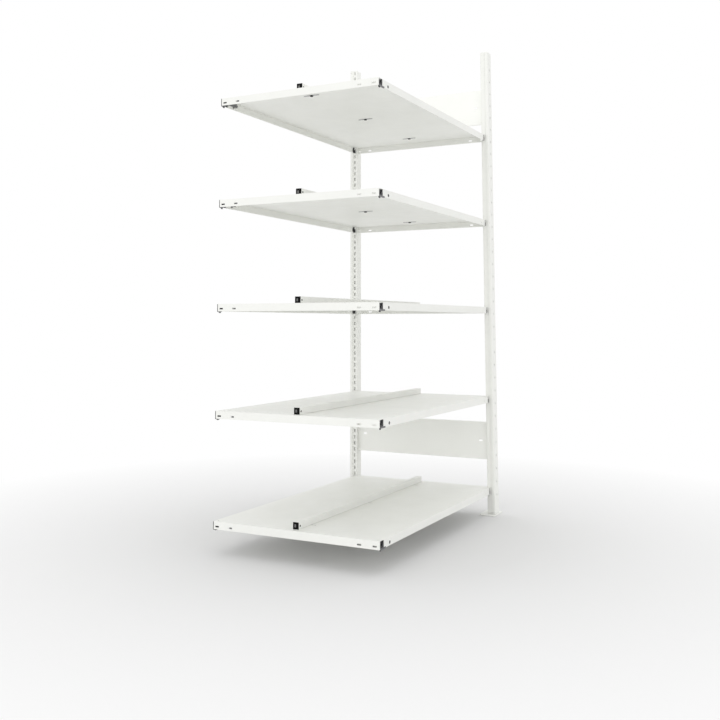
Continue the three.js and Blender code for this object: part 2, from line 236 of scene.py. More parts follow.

# %% [markdown]
# ## Painted shade at the trays' corner seam
#
# At the near left corner the side flange ends in an open seam, which shows as a thin dark line. Part of
# that line is painted shade on the coat: a millimetre-wide strip at the flange's front end is painted by
# its place, where X is almost the tray's outer side and Y almost its near end, and there the coat's
# colour is changed for a dark one.

# %% Painted seam shade
SEAM_SHADE_WIDTH = 0.0013
SEAM_SHADE_DEPTH = 0.0006
SEAM_SHADE_COLOUR = (0.06, 0.06, 0.06)


def paint_seam_shade(material, half_depth):
    tree = material.node_tree
    shader = tree.nodes["Principled BSDF"]
    colour = shader.inputs["Base Color"].links[0].from_socket
    place = tree.nodes["Texture Coordinate"].outputs["Object"]
    parts = tree.nodes.new("ShaderNodeSeparateXYZ")
    tree.links.new(place, parts.inputs["Vector"])
    outside = math_node(tree, "LESS_THAN", parts.outputs["X"], SEAM_SHADE_WIDTH - half_depth)
    in_front = math_node(tree, "LESS_THAN", parts.outputs["Y"], SEAM_SHADE_DEPTH)
    edge = math_node(tree, "MULTIPLY", outside, in_front)
    # The dark colour mixed in here is painted shade of the seam.
    tree.links.new(mix_colour(tree, edge, colour, SEAM_SHADE_COLOUR), shader.inputs["Base Color"])


paint_seam_shade(tray_seam_shade_coat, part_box("shelf_1")[1].x)
print("tray coat nodes:", len(tray_seam_shade_coat.node_tree.nodes))

# %% [markdown]
# ## Dark zinc
#
# The corner hooks are thick pressed steel with a dark zinc plating. Zinc crystals leave faint flakes
# that each reflect a little differently. A Voronoi pattern gives the flakes, and a stretched noise the
# fine marks from pressing. The same finish in other tones serves the seams, the hooks' feet and the
# clamp bars. The paler tone on the near left hooks and the right feet is painted light, and on the tab
# behind a hole of the left end flange it is painted shade.

# %% Zinc material
FLAKE_SCALE = 300.0
PRESS_MARK_SCALE = 1500.0
PRESS_MARK_STRETCH = (1.0, 0.12, 1.0)
PRESS_MARK_HEIGHT = 0.00003


def zinc_plate(name, dark_flake, light_flake, metallic):
    material, tree, shader, place = new_material(name)
    flakes = tree.nodes.new("ShaderNodeTexVoronoi")
    flakes.inputs["Scale"].default_value = FLAKE_SCALE
    tree.links.new(place, flakes.inputs["Vector"])
    separate = tree.nodes.new("ShaderNodeSeparateColor")
    tree.links.new(flakes.outputs["Color"], separate.inputs["Color"])
    flake = separate.outputs["Red"]
    colour = ramp(tree, flake, [(0.0, dark_flake), (1.0, light_flake)])
    tree.links.new(colour, shader.inputs["Base Color"])
    stretch = tree.nodes.new("ShaderNodeMapping")
    stretch.inputs["Scale"].default_value = PRESS_MARK_STRETCH
    tree.links.new(place, stretch.inputs["Vector"])
    drawn = noise(tree, stretch.outputs["Vector"], PRESS_MARK_SCALE, 3.0)
    rough = math_node(tree, "ADD", remap(tree, flake, 0.28, 0.42), remap(tree, drawn, -0.06, 0.06))
    tree.links.new(rough, shader.inputs["Roughness"])
    tree.links.new(bump(tree, drawn, PRESS_MARK_HEIGHT, 0.5), shader.inputs["Normal"])
    shader.inputs["Metallic"].default_value = metallic
    return material


dark_zinc = zinc_plate("dark_zinc", (0.032, 0.032, 0.035), (0.075, 0.075, 0.079), 0.7)
seam_zinc = zinc_plate("seam_zinc", (0.012, 0.012, 0.013), (0.025, 0.025, 0.027), 0.2)
# A paler copy of the zinc: painted light on the near left hooks and the right feet, painted shade on the
# left end's tab.
pale_zinc_light_and_shade = zinc_plate("pale_zinc_light_and_shade", (0.13, 0.13, 0.135), (0.21, 0.21, 0.215), 0.4)
bright_zinc = zinc_plate("bright_zinc", (0.34, 0.34, 0.35), (0.48, 0.48, 0.49), 0.75)
print("zinc finishes:", [tone.name for tone in (dark_zinc, seam_zinc, pale_zinc_light_and_shade, bright_zinc)])

# %% [markdown]
# ## Black plastic
#
# The end plugs and clamp caps are moulded black plastic. A mould's spark-eroded wall leaves a fine
# leathery texture, and black plastic is never quite black: it is a very dark grey with a soft sheen.

# %% Plastic material
SHADE_SCALE = 60.0
MOULD_TEXTURE_SCALE = 1800.0
MOULD_TEXTURE_HEIGHT = 0.00004


def moulded_plastic(name, deep_shade, light_shade):
    material, tree, shader, place = new_material(name)
    shade = noise(tree, place, SHADE_SCALE, 2.0)
    colour = ramp(tree, shade, [(0.3, deep_shade), (0.7, light_shade)])
    tree.links.new(colour, shader.inputs["Base Color"])
    texture = noise(tree, place, MOULD_TEXTURE_SCALE, 2.0)
    tree.links.new(remap(tree, texture, 0.38, 0.55, 0.3, 0.7), shader.inputs["Roughness"])
    tree.links.new(bump(tree, texture, MOULD_TEXTURE_HEIGHT, 0.6), shader.inputs["Normal"])
    shader.inputs["Specular IOR Level"].default_value = 0.1
    return material


black_plastic = moulded_plastic("black_plastic", (0.002, 0.002, 0.0022), (0.005, 0.005, 0.0053))
# A lighter grey copy of the plastic is a painted highlight, for the plugs' pocket floors.
painted_highlight_plastic = moulded_plastic("painted_highlight_plastic", (0.17, 0.17, 0.17), (0.21, 0.21, 0.21))
print("plastic nodes:", len(black_plastic.node_tree.nodes))

# %% [markdown]
# ## Paint the CAD nodes
#
# The record already says which finish each node has, so the materials are handed out by slot. Three
# finishes are finer than their slot: the trays carry a thin dark line of painted shade at their corner
# seam, the near left hooks get a paler copy of the zinc, which is painted light for the shade they sit
# in, and the two frame strips have a slightly whiter coat, painted light that makes up for light the
# lamps don't bring so deep between the trays.

# %% Give each node its finish
FINISHES = {"white_powder_coat": white_coat, "dark_zinc": dark_zinc, "black_plastic": black_plastic}
for entry in frame["record"]["subparts"]:
    mesh = nodes[entry["node"]].data
    mesh.materials.clear()
    finish = FINISHES[entry["material_slot"]]
    if entry["node"].startswith("shelf_"):
        finish = tray_seam_shade_coat
    # The frame strips get the whiter coat, which is painted light.
    elif entry["node"].startswith("frame_strip"):
        finish = strip_painted_light_coat
    # The near left hooks get the paler zinc, painted light for the shade they sit in under the tray.
    elif entry["node"].endswith("near_left"):
        finish = pale_zinc_light_and_shade
    mesh.materials.append(finish)

# %% [markdown]
# ## Soft folds on sheet steel
#
# A bent sheet has no knife edges: the press brake leaves a radius, and the powder coat rounds every
# cut. Without it an edge catches no light and looks like paper. A Weld modifier first joins the
# loose triangles of each node, and a Bevel then rounds only the real edges, found by their angle.

# %% Round the edges
WELD_DISTANCE = 0.00001
BEND_ANGLE = math.radians(35.0)
EDGE_ROUNDS = {"upright": 0.0004, "foot": 0.0006, "frame_strip": 0.0003, "shelf": 0.0003, "hook": 0.0005,
               "stop_rail": 0.0003, "stop_plug": 0.0008, "stop_clamp": 0.0005}


def round_edges(node_object, width):
    weld = node_object.modifiers.new("join_triangles", "WELD")
    weld.merge_threshold = WELD_DISTANCE
    bevel = node_object.modifiers.new("bent_edges", "BEVEL")
    bevel.width = width
    bevel.segments = 2
    bevel.limit_method = "ANGLE"
    bevel.angle_limit = BEND_ANGLE
    bevel.harden_normals = False
    bevel.use_clamp_overlap = True


for name, node_object in nodes.items():
    for kind, width in EDGE_ROUNDS.items():
        if name.startswith(kind):
            round_edges(node_object, width)
print("edge radii, mm:", {kind: round(width * 1000, 1) for kind, width in EDGE_ROUNDS.items()})

# %% [markdown]
# ## Geometry Nodes for things that repeat
#
# The rivet heads, seam bars, leaves and clamp fixings come in sets. Geometry Nodes place such a set
# from a few named sizes: points on a line, one shape put on every point, and then Realize Instances,
# so that the copies become real mesh. The result is baked to a plain mesh before it joins the model,
# because an exporter drops instances.

# %% A tree with named inputs
def new_tree(name, sizes):
    tree = bpy.data.node_groups.new(name, "GeometryNodeTree")
    tree.interface.new_socket(name="Geometry", in_out="INPUT", socket_type="NodeSocketGeometry")
    sockets = {}
    for label, (kind, value) in sizes.items():
        socket = tree.interface.new_socket(name=label, in_out="INPUT", socket_type=kind)
        if kind not in ("NodeSocketObject", "NodeSocketMaterial"):
            socket.default_value = value
        sockets[label] = socket.identifier
    tree.interface.new_socket(name="Geometry", in_out="OUTPUT", socket_type="NodeSocketGeometry")
    return tree, sockets, tree.nodes.new("NodeGroupInput")


# %% Steps that every set shares
def along_axis(tree, distance, axis):
    vector = tree.nodes.new("ShaderNodeCombineXYZ")
    tree.links.new(distance, vector.inputs[axis])
    return vector.outputs["Vector"]


def line_of_points(tree, offset, count=2, start=None):
    line = tree.nodes.new("GeometryNodeMeshLine")
    tree.links.new(offset, line.inputs["Offset"])
    if isinstance(count, int):
        line.inputs["Count"].default_value = count
    else:
        tree.links.new(count, line.inputs["Count"])
    if start is not None:
        tree.links.new(start, line.inputs["Start Location"])
    return line.outputs["Mesh"]


def level_points(tree, source):
    upwards = along_axis(tree, source.outputs["Level step"], "Z")
    return line_of_points(tree, upwards, source.outputs["Levels"], source.outputs["Start"])


def shape_of(tree, source_object):
    info = tree.nodes.new("GeometryNodeObjectInfo")
    tree.links.new(source_object, info.inputs["Object"])
    return info.outputs["Geometry"]


def put_on_points(tree, points, shape, turn=None):
    placed = tree.nodes.new("GeometryNodeInstanceOnPoints")
    tree.links.new(points, placed.inputs["Points"])
    tree.links.new(shape, placed.inputs["Instance"])
    if turn is not None:
        tree.links.new(turn, placed.inputs["Rotation"])
    return placed.outputs["Instances"]


def real_and_finished(tree, instances, finish):
    real = tree.nodes.new("GeometryNodeRealizeInstances")
    tree.links.new(instances, real.inputs["Geometry"])
    painted = tree.nodes.new("GeometryNodeSetMaterial")
    tree.links.new(real.outputs["Geometry"], painted.inputs["Geometry"])
    tree.links.new(finish, painted.inputs["Material"])
    return painted.outputs["Geometry"]


def end_tree(tree, geometry):
    result = tree.nodes.new("NodeGroupOutput")
    tree.links.new(geometry, result.inputs["Geometry"])


# %% Bake a set to a plain mesh
def linked_object(name, mesh):
    piece = bpy.data.objects.new(name, mesh)
    bpy.context.scene.collection.objects.link(piece)
    return piece


def hidden_source(name, mesh):
    source = linked_object(name, mesh)
    source.hide_render = True
    return source


def bake_tree(name, tree, sockets, sizes, body, replaced=()):
    carrier = linked_object(name + "_carrier", bpy.data.meshes.new(name + "_carrier"))
    modifier = carrier.modifiers.new("copies", "NODES")
    modifier.node_group = tree
    for label, (kind, value) in sizes.items():
        modifier[sockets[label]] = value
    bpy.context.view_layer.update()
    depsgraph = bpy.context.evaluated_depsgraph_get()
    mesh = bpy.data.meshes.new_from_object(carrier.evaluated_get(depsgraph))
    mesh.name = name
    bpy.data.objects.remove(carrier)
    piece = linked_object(name, mesh)
    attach(piece, body)
    if replaced:
        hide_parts(*replaced)
    print(name, "triangles:", sum(len(p.vertices) - 2 for p in mesh.polygons))


# %% [markdown]
# ## Rivet heads on the near hooks
#
# Each near hook is held to its tray by one rivet, whose low dome shows as a dark dot on the side
# flange. There are ten of them, two to a level, all alike. A line of levels carries a line of two
# sides, and the second side's dome is turned half round so that it faces outwards too.

# %% Sizes read from the frame
SHELF_NAMES = sorted(n for n in nodes if n.startswith("shelf_"))
lowest_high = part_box("shelf_1")[1]
SHELF_TOP = lowest_high.z
LEVEL_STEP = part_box("shelf_2")[1].z - SHELF_TOP
SHELF_HALF = lowest_high.x
print("levels", len(SHELF_NAMES), "step", round(LEVEL_STEP, 4), "first top", round(SHELF_TOP, 4))


# %% Turned shapes
def spun(shape, profile, steps=28):
    """Spins (radius, height) points round the Z axis and closes the shape at both ends."""
    rings = []
    for radius, height in profile:
        ring = []
        for step in range(steps):
            angle = 2 * math.pi * step / steps
            ring.append(shape.verts.new((radius * math.cos(angle), radius * math.sin(angle), height)))
        rings.append(ring)
    for lower, upper in zip(rings, rings[1:]):
        for step in range(steps):
            after = (step + 1) % steps
            shape.faces.new((lower[step], lower[after], upper[after], upper[step]))
    shape.faces.new(list(reversed(rings[0])))
    shape.faces.new(rings[-1])


def finished_mesh(shape, name):
    """Turns the bmesh into a mesh of that name, and frees it."""
    mesh = bpy.data.meshes.new(name)
    shape.to_mesh(mesh)
    shape.free()
    return mesh


LYING_DOWN = Matrix.Rotation(math.pi / 2, 3, "Y")

# %% One rivet head, lying on its side so that its dome faces +X
RIVET_FROM_END = 0.070
RIVET_BELOW_TOP = 0.0155
RIVET_RADIUS = 0.0048
RIVET_DOME = 0.0009


def rivet_shape(name):
    shape = bmesh.new()
    spun(shape, [(RIVET_RADIUS - 0.0001, 0.0), (RIVET_RADIUS, 0.0002),
                 (RIVET_RADIUS * 0.86, RIVET_DOME * 0.6), (RIVET_RADIUS * 0.55, RIVET_DOME * 0.9),
                 (RIVET_RADIUS * 0.2, RIVET_DOME)], 24)
    bmesh.ops.rotate(shape, cent=(0, 0, 0), matrix=LYING_DOWN, verts=shape.verts)
    for face in shape.faces:
        face.smooth = True
    return finished_mesh(shape, name)


rivet_source = hidden_source("rivet_source", rivet_shape("rivet_source"))
rivet_sizes = {
    "Levels": ("NodeSocketInt", len(SHELF_NAMES)),
    "Level step": ("NodeSocketFloat", LEVEL_STEP),
    "Across": ("NodeSocketFloat", -2 * SHELF_HALF),
    "Start": ("NodeSocketVector", (SHELF_HALF, RIVET_FROM_END, SHELF_TOP - RIVET_BELOW_TOP)),
    "Rivet": ("NodeSocketObject", rivet_source),
    "Finish": ("NodeSocketMaterial", seam_zinc),
}


def rivet_tree():
    tree, sockets, source = new_tree("rivet_set", rivet_sizes)
    levels = level_points(tree, source)
    sides = line_of_points(tree, along_axis(tree, source.outputs["Across"], "X"))
    index = tree.nodes.new("GeometryNodeInputIndex").outputs["Index"]
    half_turn = along_axis(tree, math_node(tree, "MULTIPLY", index, math.pi), "Z")
    pair = put_on_points(tree, sides, shape_of(tree, source.outputs["Rivet"]), half_turn)
    placed = put_on_points(tree, levels, pair)
    end_tree(tree, real_and_finished(tree, placed, source.outputs["Finish"]))
    return tree, sockets


rivets, rivet_sockets = rivet_tree()
bake_tree("hook_rivet_heads", rivets, rivet_sockets, rivet_sizes, "bay")
bpy.data.objects.remove(rivet_source)

# %% [markdown]
# ## The folded edge in the corner seams
#
# At the near left and far right corner of each tray the folded edge of the hook fills the seam
# between end flange and side flange, and shows as a thin upright line. It is the same stamped bar ten
# times, and its two ends are alike, so one bar is put at the near left of every level and once more
# at the far right.

# %% Stamped bar with a rounded edge
SHEET = 0.0012
SEAM_WIDTH = 0.0015
SEAM_MIDDLE = SHELF_HALF - SHEET - SEAM_WIDTH / 2
BAR_SIZE = (0.0014, 0.0050, 0.0236)
BAR_ROUNDING = 0.0003
BAR_UNDER_SHEET = 0.0003
BAR_FROM_END = 0.00015
SHELF_END = lowest_high.y


def round_off(shape, width, profile=0.6):
    bmesh.ops.bevel(shape, geom=shape.edges[:], offset=width, segments=2, affect="EDGES", profile=profile)


def stamped_bar(name):
    shape = bmesh.new()
    bmesh.ops.create_cube(shape, size=1.0)
    bmesh.ops.scale(shape, vec=BAR_SIZE, verts=shape.verts)
    round_off(shape, BAR_ROUNDING)
    return finished_mesh(shape, name)


bar_middle = SHELF_TOP - SHEET - BAR_UNDER_SHEET - BAR_SIZE[2] / 2
seam_source = hidden_source("seam_source", stamped_bar("seam_source"))
seam_sizes = {
    "Levels": ("NodeSocketInt", len(SHELF_NAMES)),
    "Level step": ("NodeSocketFloat", LEVEL_STEP),
    "Across": ("NodeSocketVector", (2 * SEAM_MIDDLE, SHELF_END - 2 * BAR_FROM_END - BAR_SIZE[1], 0.0)),
    "Start": ("NodeSocketVector", (-SEAM_MIDDLE, BAR_FROM_END + BAR_SIZE[1] / 2, bar_middle)),
    "Bar": ("NodeSocketObject", seam_source),
    "Finish": ("NodeSocketMaterial", seam_zinc),
}


def seam_tree():
    tree, sockets, source = new_tree("seam_bar_set", seam_sizes)
    levels = level_points(tree, source)
    corners = line_of_points(tree, source.outputs["Across"])
    pair = put_on_points(tree, corners, shape_of(tree, source.outputs["Bar"]))
    placed = put_on_points(tree, levels, pair)
    end_tree(tree, real_and_finished(tree, placed, source.outputs["Finish"]))
    return tree, sockets


seams, seam_sockets = seam_tree()
bake_tree("corner_seam_bars", seams, seam_sockets, seam_sizes, "bay")
bpy.data.objects.remove(seam_source)

# %% [markdown]
# ## The leaf and foot of the near hooks, with painted shade behind the end holes
#
# Against the inner side of each near hook stands a thin leaf of dark zinc. Through the corner's side
# opening it shows as the hook's dark plate, and behind the first long hole of the end flange it is
# painted shade: a dark sheet where the hole looks into shade. Its foot is folded out under the corner:
# on the left it lies along the end flange as a thin dark rim, and on the right it grips the lower edge
# of the side flange in a paler zinc, which is painted light. A small grey tab hangs from the sheet
# behind the left end's second long hole; it is painted shade, so that the hole looks grey. One mesh
# holds what a level needs, and nodes repeat it on every level.

# %% Leaf and foot of one level
LEAF_INNER = 0.2955
LEAF_THICK = 0.0008
LEAF_ALONG = (0.0030, 0.0290)
LEAF_BELOW_TOP = (0.0024, 0.0236)
LEFT_FOOT = ((-0.2997, -0.2845), (0.0003, 0.0060), (0.0249, 0.0266))
RIGHT_FOOT = ((0.2964, 0.3006), (0.0070, 0.0420), (0.0215, 0.0266))
# The left tab is a grey sheet of painted shade behind the second long hole.
LEFT_HOLE_SHADE_TAB = ((-0.2375, -0.2275), (0.0030, 0.0038), (0.0011, 0.0190))
PLATE_ROUNDING = 0.0002


def plates(name, boxes):
    """One mesh of flat plates, each given by its reach across, along and below the tray's top."""
    shape = bmesh.new()
    for (x1, x2), (y1, y2), (z1, z2) in boxes:
        cube = bmesh.ops.create_cube(shape, size=1.0)["verts"]
        bmesh.ops.scale(shape, vec=(x2 - x1, y2 - y1, z2 - z1), verts=cube)
        bmesh.ops.translate(shape, vec=((x1 + x2) / 2, (y1 + y2) / 2, -(z1 + z2) / 2), verts=cube)
    round_off(shape, PLATE_ROUNDING)
    return finished_mesh(shape, name)


def level_sizes(source_object, finish):
    return {
        "Levels": ("NodeSocketInt", len(SHELF_NAMES)),
        "Level step": ("NodeSocketFloat", LEVEL_STEP),
        "Start": ("NodeSocketVector", (0.0, 0.0, SHELF_TOP)),
        "Plates": ("NodeSocketObject", source_object),
        "Finish": ("NodeSocketMaterial", finish),
    }


def level_tree():
    tree, sockets, source = new_tree("plates_per_level", level_sizes(None, None))
    levels = level_points(tree, source)
    placed = put_on_points(tree, levels, shape_of(tree, source.outputs["Plates"]))
    end_tree(tree, real_and_finished(tree, placed, source.outputs["Finish"]))
    return tree, sockets


# The leaves are partly the hooks' dark plates and partly painted shade behind the end holes.
HOOK_LEAVES_AND_HOLE_SHADE = [((LEAF_INNER, LEAF_INNER + LEAF_THICK), LEAF_ALONG, LEAF_BELOW_TOP),
          ((-LEAF_INNER - LEAF_THICK, -LEAF_INNER), LEAF_ALONG, LEAF_BELOW_TOP)]
plate_tree, plate_sockets = level_tree()
for name, boxes, finish in (("hook_leaves", HOOK_LEAVES_AND_HOLE_SHADE + [LEFT_FOOT], dark_zinc),
                            ("hook_feet", [RIGHT_FOOT, LEFT_HOLE_SHADE_TAB], pale_zinc_light_and_shade)):
    plate_source = hidden_source(name + "_source", plates(name + "_source", boxes))
    bake_tree(name, plate_tree, plate_sockets, level_sizes(plate_source, finish), "bay")
    bpy.data.objects.remove(plate_source)

# %% [markdown]
# ## The plain inner sides of the uprights
#
# The photograph shows the inner side of the left upright as one plain, evenly light face. The frame
# keeps it open between two lips, because the ends of the trays stand inside it. A thin coated strip
# from lip to lip closes it here; where a tray comes in, the strip simply meets its flanges. A second
# strip stands behind the slotted face, so that the slots stay as pale as in the photograph: closer on
# the right than on the left, because the right upright's slots hardly show.

# %% Closing strips
upright_low, upright_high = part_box("upright_right")
UPRIGHT_INNER = upright_low.x
UPRIGHT_NEAR = upright_low.y
UPRIGHT_FAR = upright_high.y
LIP_WIDTH = 0.011
LEFT, RIGHT = -1, 1
STRIP_SET_BACK = 0.0002
STRIP_THICK = 0.0008
STRIP_UNDER_LIP = 0.0003
STRIP_END_GAP = 0.002
BEHIND_SLOTS = {LEFT: 0.0090, RIGHT: 0.0018}
BACKING_INSET = 0.0030
BACKING_WIDTH = 0.0150


def closing_strips(name):
    shape = bmesh.new()
    low, high = upright_low.z + STRIP_END_GAP, upright_high.z - STRIP_END_GAP
    near, far = UPRIGHT_NEAR + LIP_WIDTH - STRIP_UNDER_LIP, UPRIGHT_FAR - LIP_WIDTH + STRIP_UNDER_LIP
    closing_x = UPRIGHT_INNER + STRIP_SET_BACK + STRIP_THICK / 2
    closing = (STRIP_THICK, far - near), (closing_x, (near + far) / 2)
    backing_x = UPRIGHT_INNER + BACKING_INSET + BACKING_WIDTH / 2
    for side in (LEFT, RIGHT):
        backing_y = UPRIGHT_NEAR + BEHIND_SLOTS[side] + STRIP_THICK / 2
        backing = (BACKING_WIDTH, STRIP_THICK), (backing_x, backing_y)
        for (wide, deep), (x, y) in (closing, backing):
            cube = bmesh.ops.create_cube(shape, size=1.0)["verts"]
            bmesh.ops.scale(shape, vec=(wide, deep, high - low), verts=cube)
            bmesh.ops.translate(shape, vec=(side * x, y, (low + high) / 2), verts=cube)
    piece = linked_object(name, finished_mesh(shape, name))
    piece.data.materials.append(white_coat)
    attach(piece, "bay")
    print(name, "from", round(low, 3), "to", round(high, 3))


closing_strips("upright_inner_strips")

# %% [markdown]
# ## Clamp fixings under the shelves
#
# Three fixings hold each centre stop. From below each shows a round black cap on a slim bar, which
# spreads the clamp's pull across its cross slot. The cap is turned, so its profile is spun round the
# screw's axis; the bar is a flat strip with round ends. The nut and shank inside the rail are kept,
# so that the fixing is whole when the stop slides and the slot opens.

# %% One clamp fixing
CLAMP_NAMES = sorted(n for n in nodes if n.startswith("stop_clamp_1_"))
clamp_low, clamp_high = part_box(CLAMP_NAMES[0])
CLAMP_FIRST = (clamp_low.y + clamp_high.y) / 2
next_low, next_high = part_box(CLAMP_NAMES[1])
CLAMP_STEP = (next_low.y + next_high.y) / 2 - CLAMP_FIRST
CAP_RADIUS = 0.006
CAP_TOP = -0.0025
CAP_BOTTOM = clamp_low.z - SHELF_TOP
SHANK_RADIUS = 0.0025
BAR_LENGTH = clamp_high.x - clamp_low.x
BAR_WIDTH = 0.008
BAR_THICK = 0.0012
BAR_TOP = -0.0013
NUT_SIZE = 0.012
NUT_THICK = 0.0025
NUT_ROUNDING = 0.0004


def clamp_shape(name):
    """The turned cap and shank, and the square nut at the top of the shank."""
    shape = bmesh.new()
    low, high = CAP_BOTTOM, clamp_high.z - SHELF_TOP
    spun(shape, [(0.0019, low + 0.0009), (0.0023, low + 0.0001), (0.0030, low),
                 (CAP_RADIUS - 0.0014, low + 0.0002), (CAP_RADIUS - 0.0005, low + 0.0007),
                 (CAP_RADIUS, low + 0.0016), (CAP_RADIUS, CAP_TOP)])
    spun(shape, [(SHANK_RADIUS, CAP_TOP), (SHANK_RADIUS, high)], 20)
    square = bmesh.new()
    bmesh.ops.create_cube(square, size=1.0)
    bmesh.ops.scale(square, vec=(NUT_SIZE, NUT_SIZE, NUT_THICK), verts=square.verts)
    bmesh.ops.translate(square, vec=(0, 0, high - NUT_THICK / 2), verts=square.verts)
    round_off(square, NUT_ROUNDING, 0.5)
    nut = finished_mesh(square, "nut")
    shape.from_mesh(nut)
    bpy.data.meshes.remove(nut)
    return finished_mesh(shape, name)


# %% One clamp bar
END_STEPS = 12


def bar_shape(name):
    """Flat strip with round ends, just under the sheet."""
    shape = bmesh.new()
    radius, half = BAR_WIDTH / 2, BAR_LENGTH / 2 - BAR_WIDTH / 2
    outline = []
    for centre, start in ((half, -math.pi / 2), (-half, math.pi / 2)):
        for step in range(END_STEPS + 1):
            angle = start + math.pi * step / END_STEPS
            outline.append((centre + radius * math.cos(angle), radius * math.sin(angle)))
    ring = [shape.verts.new((x, y, BAR_TOP - BAR_THICK)) for x, y in outline]
    face = shape.faces.new(list(reversed(ring)))
    raised = bmesh.ops.extrude_face_region(shape, geom=[face])
    up = [item for item in raised["geom"] if isinstance(item, bmesh.types.BMVert)]
    bmesh.ops.translate(shape, vec=(0, 0, BAR_THICK), verts=up)
    bmesh.ops.recalc_face_normals(shape, faces=shape.faces)
    return finished_mesh(shape, name)


# %% Row of three clamps, once for each rail
cap_source = hidden_source("cap_source", clamp_shape("cap_source"))
bar_source = hidden_source("bar_source", bar_shape("bar_source"))
clamp_sizes = {
    "Count": ("NodeSocketInt", len(CLAMP_NAMES)),
    "Spacing": ("NodeSocketFloat", CLAMP_STEP),
    "Start": ("NodeSocketVector", (0.0, CLAMP_FIRST, SHELF_TOP)),
    "Cap": ("NodeSocketObject", cap_source),
    "Bar": ("NodeSocketObject", bar_source),
    "Cap finish": ("NodeSocketMaterial", black_plastic),
    "Bar finish": ("NodeSocketMaterial", bright_zinc),
}


def clamp_tree():
    tree, sockets, source = new_tree("clamp_row", clamp_sizes)
    row = line_of_points(tree, along_axis(tree, source.outputs["Spacing"], "Y"), source.outputs["Count"],
                         source.outputs["Start"])
    joined = tree.nodes.new("GeometryNodeJoinGeometry")
    for label in ("Cap", "Bar"):
        placed = put_on_points(tree, row, shape_of(tree, source.outputs[label]))
        finished = real_and_finished(tree, placed, source.outputs[label + " finish"])
        tree.links.new(finished, joined.inputs["Geometry"])
    end_tree(tree, joined.outputs["Geometry"])
    return tree, sockets


clamps, clamp_sockets = clamp_tree()
for level in range(1, len(SHELF_NAMES) + 1):
    top = SHELF_TOP + (level - 1) * LEVEL_STEP
    clamp_sizes["Start"] = ("NodeSocketVector", (0.0, CLAMP_FIRST, top))
    own = [n.replace("stop_clamp_1_", f"stop_clamp_{level}_") for n in CLAMP_NAMES]
    bake_tree(f"clamp_fixings_{level}", clamps, clamp_sockets, clamp_sizes, f"stop_{level}",
              own)
bpy.data.objects.remove(cap_source)
bpy.data.objects.remove(bar_source)

# %% [markdown]
# ## The plugs in the stop rails
#
# The near end of each rail is closed by a square black plug. Its face has a shallow moulded pocket
# whose floor is painted a lighter grey than the rim, a painted highlight, and a round snap button on
# each side of the plug shows in the rail's hole. The face is built as a rim of quads round the
# pocket, so that every edge can take a bevel.

# %% Plug sizes
plug_low, plug_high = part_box("stop_plug_1")
rail_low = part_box("stop_rail_1")[0]
PLUG_FRONT = plug_low.y
PLUG_SHOULDER = rail_low.y - 0.0003
POCKET = (-0.0062, 0.0012, 0.0052, 0.0158)
POCKET_DEEP = 0.0016
POCKET_STEP = 0.0007
PLUG_SHOULDER_WIDTH = 0.0016
PLUG_ROUNDING = 0.0004
BUTTON_FROM_RAIL_END = 0.0083
BUTTON_HEIGHT = 0.010
BUTTON_RADIUS = 0.0031
BUTTON_PROUD = 0.0004


# %% Moulded plug
def moulded_plug(name, level_top):
    shape = bmesh.new()
    left, right = plug_low.x, plug_high.x
    low, high = plug_low.z - SHELF_TOP, plug_high.z - SHELF_TOP

    def ring(x1, x2, z1, z2, y):
        return [shape.verts.new((x, y, z)) for x, z in ((x1, z1), (x2, z1), (x2, z2), (x1, z2))]

    def wall(first, second):
        for n in range(4):
            shape.faces.new((first[n], first[(n + 1) % 4], second[(n + 1) % 4], second[n]))

    body_half = right - PLUG_SHOULDER_WIDTH
    body_low, body_high = low + PLUG_SHOULDER_WIDTH, high - PLUG_SHOULDER_WIDTH
    px1, px2, pz1, pz2 = POCKET
    back = ring(-body_half, body_half, body_low, body_high, plug_high.y)
    neck = ring(-body_half, body_half, body_low, body_high, PLUG_SHOULDER)
    shoulder = ring(left, right, low, high, PLUG_SHOULDER)
    face = ring(left, right, low, high, PLUG_FRONT)
    rim = ring(px1, px2, pz1, pz2, PLUG_FRONT)
    floor_ring = ring(px1 + POCKET_STEP, px2 - POCKET_STEP, pz1 + POCKET_STEP, pz2 - POCKET_STEP,
                      PLUG_FRONT + POCKET_DEEP)
    for first, second in ((back, neck), (neck, shoulder), (shoulder, face), (face, rim), (rim, floor_ring)):
        wall(first, second)
    shape.faces.new(list(reversed(back)))
    pocket_floor = shape.faces.new(floor_ring)
    # The pocket floor takes the second slot, a lighter grey that is a painted highlight.
    pocket_floor.material_index = 1
    bmesh.ops.recalc_face_normals(shape, faces=shape.faces)
    bmesh.ops.translate(shape, vec=(0, 0, level_top), verts=shape.verts)
    return finished_mesh(shape, name)


# %% Snap buttons, turned in one piece across the rail
def snap_buttons(name, level_top):
    shape = bmesh.new()
    reach = plug_high.x + BUTTON_PROUD
    spun(shape, [(BUTTON_RADIUS - 0.0005, -reach), (BUTTON_RADIUS - 0.0001, -reach + 0.0002),
                 (BUTTON_RADIUS, -plug_high.x), (BUTTON_RADIUS * 0.6, -plug_high.x + 0.0004),
                 (BUTTON_RADIUS * 0.6, plug_high.x - 0.0004), (BUTTON_RADIUS, plug_high.x),
                 (BUTTON_RADIUS - 0.0001, reach - 0.0002), (BUTTON_RADIUS - 0.0005, reach)], 24)
    bmesh.ops.rotate(shape, cent=(0, 0, 0), matrix=LYING_DOWN, verts=shape.verts)
    place = (0, rail_low.y + BUTTON_FROM_RAIL_END, level_top + BUTTON_HEIGHT)
    bmesh.ops.translate(shape, vec=place, verts=shape.verts)
    bmesh.ops.recalc_face_normals(shape, faces=shape.faces)
    return finished_mesh(shape, name)


